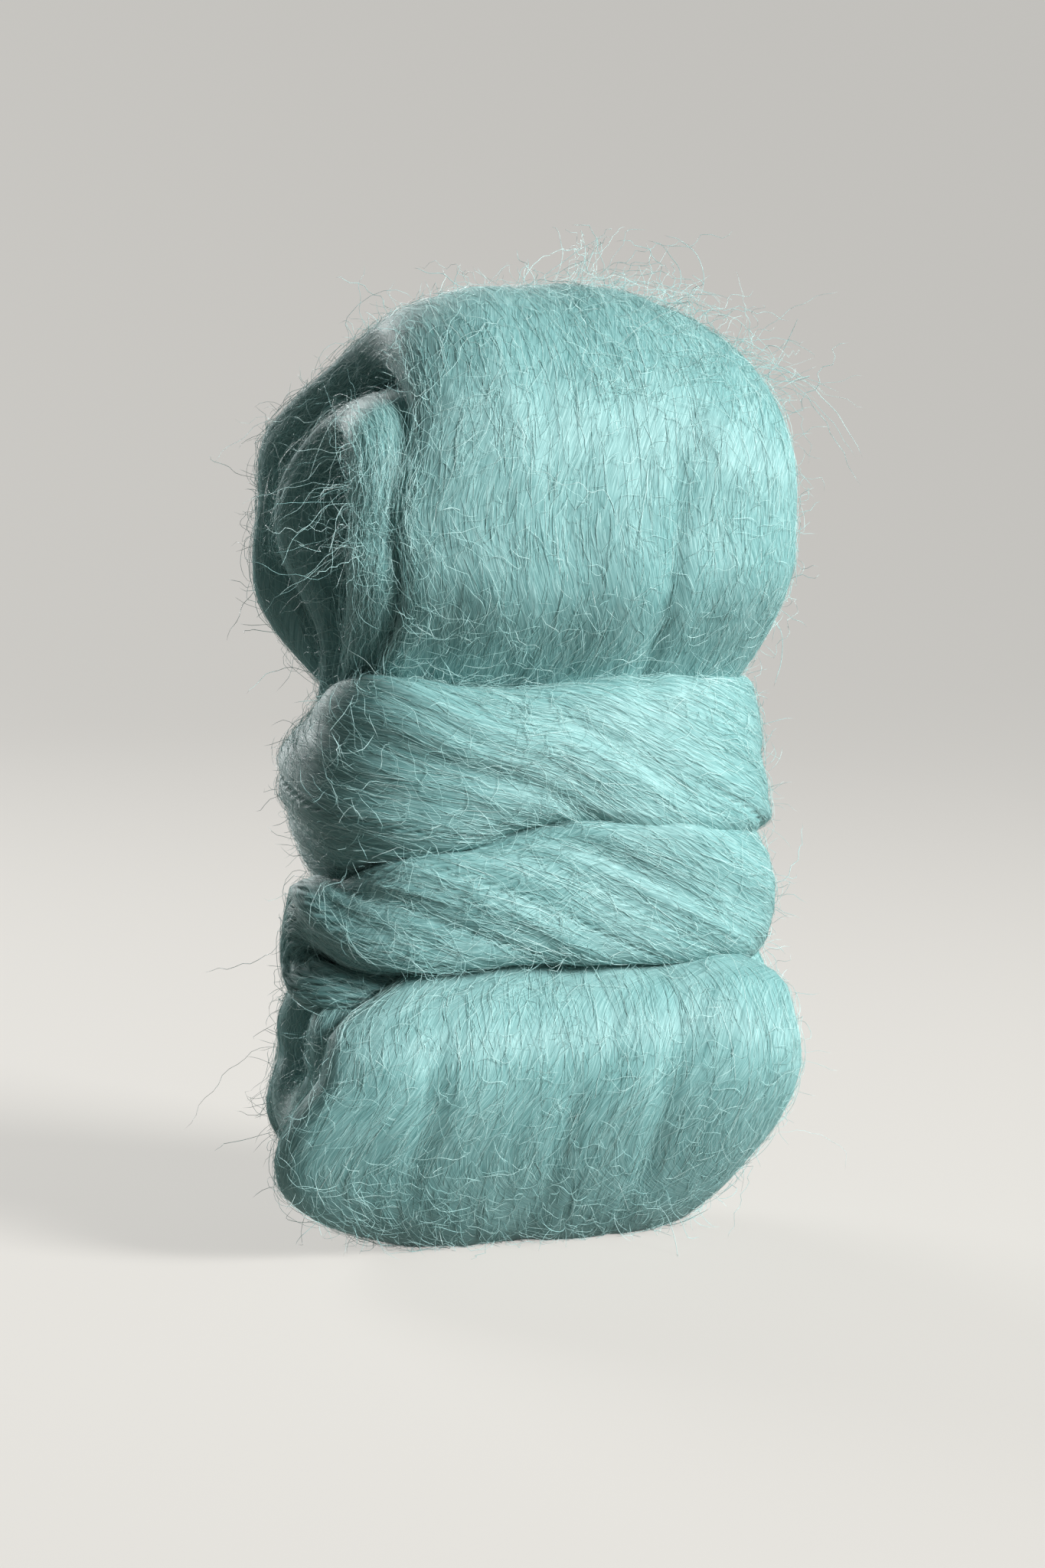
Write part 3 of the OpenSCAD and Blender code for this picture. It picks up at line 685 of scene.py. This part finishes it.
FIBRE_R = 0.033
for name, count, first, last, seed in (
    ("loop_fibres_a", 6700, marks[0], marks[1], 11),
    ("loop_fibres_b", 6700, marks[0], marks[1], 12),
    ("loop_fibres_c", 6700, marks[0], marks[1], 13),
    ("loop_fibres_d", 6700, marks[0], marks[1], 16),
    ("wrap_fibres_a", 6700, marks[1], marks[2], 14),
    ("wrap_fibres_b", 6700, marks[1], marks[2], 17),
    ("tail_fibres", 2000, marks[2], marks[3], 15),
):
    rng = np.random.default_rng(seed)
    ring, side = roots(rng, count, first, last)
    lengths = rng.uniform(5, 13, count)
    heights = 0.12 + rng.gamma(1.4, 0.13, count)
    # three in four keep to the lie, and the rest slant across it
    sway = np.where(rng.random(count) < 0.75, 0.09, 0.3)[:, None]
    points = lying(rng, ring, side, lengths, 5, sway, 0.1, heights)
    radii = FIBRE_R * rng.uniform(0.7, 1.2, count)
    fibre_piece(name, points, radii, np.clip(rng.normal(0.45, 0.2, count), 0, 1))

# The loose fibres: hairs of the same wool that lift off along the lie at one end, and short curls across it,
# all over the strand. Their tints run paler than the lying fibres', a painted highlight of hairs that stand
# out into the light.
LIFTED, LIFTED_R, CURLED, CURLED_R = 2200, 0.04, 2300, 0.034


def loose_piece(name, rng, points, radius, thinnest, tints):
    """Fibres along rows of points, thinner or thicker and more or less dyed from one to the next."""
    count = len(points)
    radii = radius * rng.uniform(thinnest, 1.2, count)
    fibre_piece(name, points, radii, rng.uniform(*tints, count))


rng = np.random.default_rng(21)
ring, side = roots(rng, LIFTED, marks[0], marks[3])
lengths, heights = rng.uniform(8, 20, LIFTED), rng.gamma(1.3, 0.7, LIFTED)
points = lying(rng, ring, side, lengths, 9, 0.35, 0.35, heights, loose=True)
# painted highlight: the lifted fibres' tints are paler than the lying fibres'
loose_piece("lifted_fibres", rng, points, LIFTED_R, 0.7, (0.4, 0.85))

# painted highlight: the curls' tints are paler than the lying fibres'
for name, seed in (("curled_fibres_a", 22), ("curled_fibres_b", 23), ("curled_fibres_c", 26)):
    rng = np.random.default_rng(seed)
    ring, side = roots(rng, CURLED, marks[0], marks[3])
    lengths, heights = rng.uniform(3, 9, CURLED), 0.1 + rng.gamma(1.3, 0.3, CURLED)
    points = curls(rng, ring, side, lengths, 6, heights)
    loose_piece(name, rng, points, CURLED_R, 0.7, (0.35, 0.85))

# Longer loose fibres lie across the left of the hank and the bottom of the lower lobe, in boxes given by
# their lowest and highest corners, and a lock of the inner loop stands out at the upper lobe's open end.
UPPER_LEFT = ((-99, -99, 98), (-18, 99, 150))
WAIST_LEFT = ((-99, -99, 40), (0, 5, 98))
LOW_DOWN = ((-99, -99, -9), (99, 0, 38))
OPEN_END = ((-99, -34, 98), (-26, -6, 140))
LONG_R, LOCK_FIBRES = 0.04, 900
for name, count, box, shortest, longest, height, seed in (
    ("crossing_fibres_a", 800, UPPER_LEFT, 5, 18, 0.7, 31),
    ("crossing_fibres_b", 1000, WAIST_LEFT, 5, 16, 0.5, 32),
    ("crossing_fibres_c", 900, LOW_DOWN, 4, 12, 0.5, 33),
):
    rng = np.random.default_rng(seed)
    ring, side = roots(rng, count, marks[0], marks[3], box)
    lengths, heights = rng.uniform(shortest, longest, count), 0.2 + rng.gamma(1.5, height, count)
    points = curls(rng, ring, side, lengths, 9, heights)
    loose_piece(name, rng, points, LONG_R, 0.6, (0.25, 0.75))
rng = np.random.default_rng(34)
ring, side = roots(rng, LOCK_FIBRES, marks[0], marks[1], OPEN_END)
lengths, heights = rng.uniform(8, 20, LOCK_FIBRES), 0.2 + rng.gamma(1.4, 0.5, LOCK_FIBRES)
points = lying(rng, ring, side, lengths, 9, 0.15, 0.3, heights)
loose_piece("lock_fibres", rng, points, LONG_R, 0.6, (0.1, 0.7))

# The flyaways: fibres held at one end only, which wander off through the air. There is a short halo all
# over with some long hairs in it, fuzz over the inner loop's open end, and a tuft that leans out at the
# top right.
HALO, LONG_HAIRS, FUZZ, TUFT = 8200, 300, 150, 420
HALO_R, HAIR_R, FUZZ_R, ROOTED = 0.038, 0.045, 0.03, 0.3


def flyaway_piece(name, rng, base, heading, lengths, steps, bend, sag, radius):
    """Fibres that stand off from their roots and sag under their own weight."""
    points = strays(rng, base, heading, lengths, steps, bend)
    points[..., 2] -= np.linspace(0, 1, steps + 1)[None] ** 2 * (sag * lengths)[:, None]
    loose_piece(name, rng, points, radius, 0.6, (0.2, 0.9))


rng = np.random.default_rng(24)
ring, side = roots(rng, HALO, marks[0], marks[3])
base, off = sample(skin, ring, side), sample(normal, ring, side)
flow = sample(skin, ring + 0.5, side) - sample(skin, ring - 0.5, side)
flow /= np.linalg.norm(flow, axis=1)[:, None]
heading = flow * rng.normal(0, 1, (HALO, 1)) + off * rng.uniform(0.3, 1.0, (HALO, 1))
heading = heading + rng.normal(0, 0.4, (HALO, 3))
lengths = rng.uniform(2, 8, HALO)
flyaway_piece("halo_fibres", rng, base - SUNK * off, heading, lengths, 5, 0.14, 0.05, HALO_R)
far = rng.choice(HALO, LONG_HAIRS, replace=False)
base, off, flow = base[far], off[far], flow[far]
heading = flow * rng.normal(0, 1, (LONG_HAIRS, 1)) + off * rng.uniform(0.2, 0.7, (LONG_HAIRS, 1))
heading = heading + rng.normal(0, 0.3, (LONG_HAIRS, 3))
lengths = rng.uniform(8, 26, LONG_HAIRS)
flyaway_piece("stray_fibres", rng, base - SUNK * off, heading, lengths, 15, 0.08, 0.1, HAIR_R)

KNOB = ((-99, -26, 116), (-31, -2, 143))
rng = np.random.default_rng(27)
ring, side = roots(rng, FUZZ, marks[0], marks[1], KNOB)
base, off = sample(skin, ring, side), sample(normal, ring, side)
heading = np.array([-0.4, -0.1, -0.1]) + 0.1 * off + rng.normal(0, 0.5, (FUZZ, 3))
lengths = rng.uniform(6, 24, FUZZ)
flyaway_piece("knob_fibres", rng, base - ROOTED * off, heading, lengths, 15, 0.14, 0.1, FUZZ_R)

TOP_RIGHT = ((0, -99, 140), (40, 99, 199))
rng = np.random.default_rng(25)
ring, side = roots(rng, TUFT, marks[0], marks[1], TOP_RIGHT)
base, off = sample(skin, ring, side), sample(normal, ring, side)
heading = np.array([0.9, 0.0, 0.35]) + 0.25 * off + rng.normal(0, 0.35, (TUFT, 3))
lengths = rng.uniform(6, 30, TUFT)
flyaway_piece("tuft_fibres", rng, base - ROOTED * off, heading, lengths, 15, 0.09, 0.25, HAIR_R)

# The studio: a plain pale floor that sweeps up behind the hank, one large soft lamp at the front right,
# above, a weak one behind, and an even pale surround. The camera looks from the front left, a little above.
FLOOR_FRONT, FLOOR_HALF, SWEEP_Y, SWEEP_R, WALL_TOP = -3.0, 4.0, 0.9, 0.8, 4.0
PALE, FLOOR_GLOW, SKY_GLOW, SKY_LIGHT = "#F1EFEA", 0.6, 0.62, 0.09
bend = np.radians(np.linspace(0, 90, 25))
line = [(FLOOR_FRONT, 0.0)]
line += [(SWEEP_Y + SWEEP_R * math.sin(q), SWEEP_R - SWEEP_R * math.cos(q)) for q in bend]
line += [(SWEEP_Y + SWEEP_R, WALL_TOP)]
mesh = bpy.data.meshes.new("floor")
mesh.from_pydata([(x, y, z) for y, z in line for x in (-FLOOR_HALF, FLOOR_HALF)], [],
                 [(2 * i, 2 * i + 1, 2 * i + 3, 2 * i + 2) for i in range(len(line) - 1)])
mesh.polygons.foreach_set("use_smooth", np.ones(len(mesh.polygons), bool))
floor = bpy.data.objects.new("floor", mesh)
bpy.context.collection.objects.link(floor)


def shown(tree):
    """Whether a ray shows the surroundings: one from the camera, mirrored or let through."""
    path = add(tree, "LightPath").outputs
    seen = add(tree, "Math", links={0: path["Is Camera Ray"], 1: path["Is Glossy Ray"]}, operation="ADD")
    links = {0: seen.outputs[0], 1: path["Is Transmission Ray"]}
    return add(tree, "Math", links=links, operation="ADD", use_clamp=True).outputs[0]


paper, tree = new_material("pale_paper")
glow = add(tree, "Math", {1: FLOOR_GLOW}, {0: shown(tree)}, operation="MULTIPLY")
shader = add(
    tree, "BsdfPrincipled",
    {"Base Color": linear("#74726E"), "Roughness": 0.9, "Specular IOR Level": 0.1,
     "Emission Color": linear(PALE)},
    {"Emission Strength": glow.outputs[0]},
)
add(tree, "OutputMaterial", links={"Surface": shader.outputs[0]})
floor.data.materials.append(paper)

world = bpy.data.worlds.new("surround")
bpy.context.scene.world = world
world.use_nodes = True
tree = world.node_tree
tree.nodes.clear()
level = add(tree, "Mix", {"A": SKY_LIGHT, "B": SKY_GLOW}, {"Factor": shown(tree)}, data_type="FLOAT")
sky = add(tree, "Background", {"Color": linear(PALE)}, {"Strength": level.outputs[0]})
add(tree, "OutputWorld", links={"Surface": sky.outputs[0]})

VIEW_TURN, VIEW_RISE, VIEW_D = math.radians(-20), math.radians(6), 0.741
AIM = Vector((0.0021, 0, 0.077))


def lamp(name, place, size, watts):
    """A soft square lamp aimed at the hank, whose light is kept off the floor further away."""
    light = bpy.data.lights.new(name, "AREA")
    light.size, light.energy, light.spread = size, watts, math.radians(60)
    made = bpy.data.objects.new(name, light)
    bpy.context.collection.objects.link(made)
    made.location, made.visible_camera = place, False
    made.rotation_euler = (AIM - made.location).to_track_quat("-Z", "Y").to_euler()


lamp("key", Vector((0.96, -1.32, 0.86)), 0.65, 9.6)
lamp("rear", Vector((-0.3, 1.2, 0.5)), 0.6, 1.9)

camera = bpy.data.objects.new("camera", bpy.data.cameras.new("camera"))
bpy.context.collection.objects.link(camera)
camera.data.lens, camera.data.sensor_width = 100, 36
level_d = VIEW_D * math.cos(VIEW_RISE)
camera.location = AIM + Vector((
    level_d * math.sin(VIEW_TURN), -level_d * math.cos(VIEW_TURN), VIEW_D * math.sin(VIEW_RISE)
))
camera.rotation_euler = (AIM - camera.location).to_track_quat("-Z", "Y").to_euler()
bpy.context.scene.camera = camera
bpy.context.scene.view_settings.view_transform = "Standard"
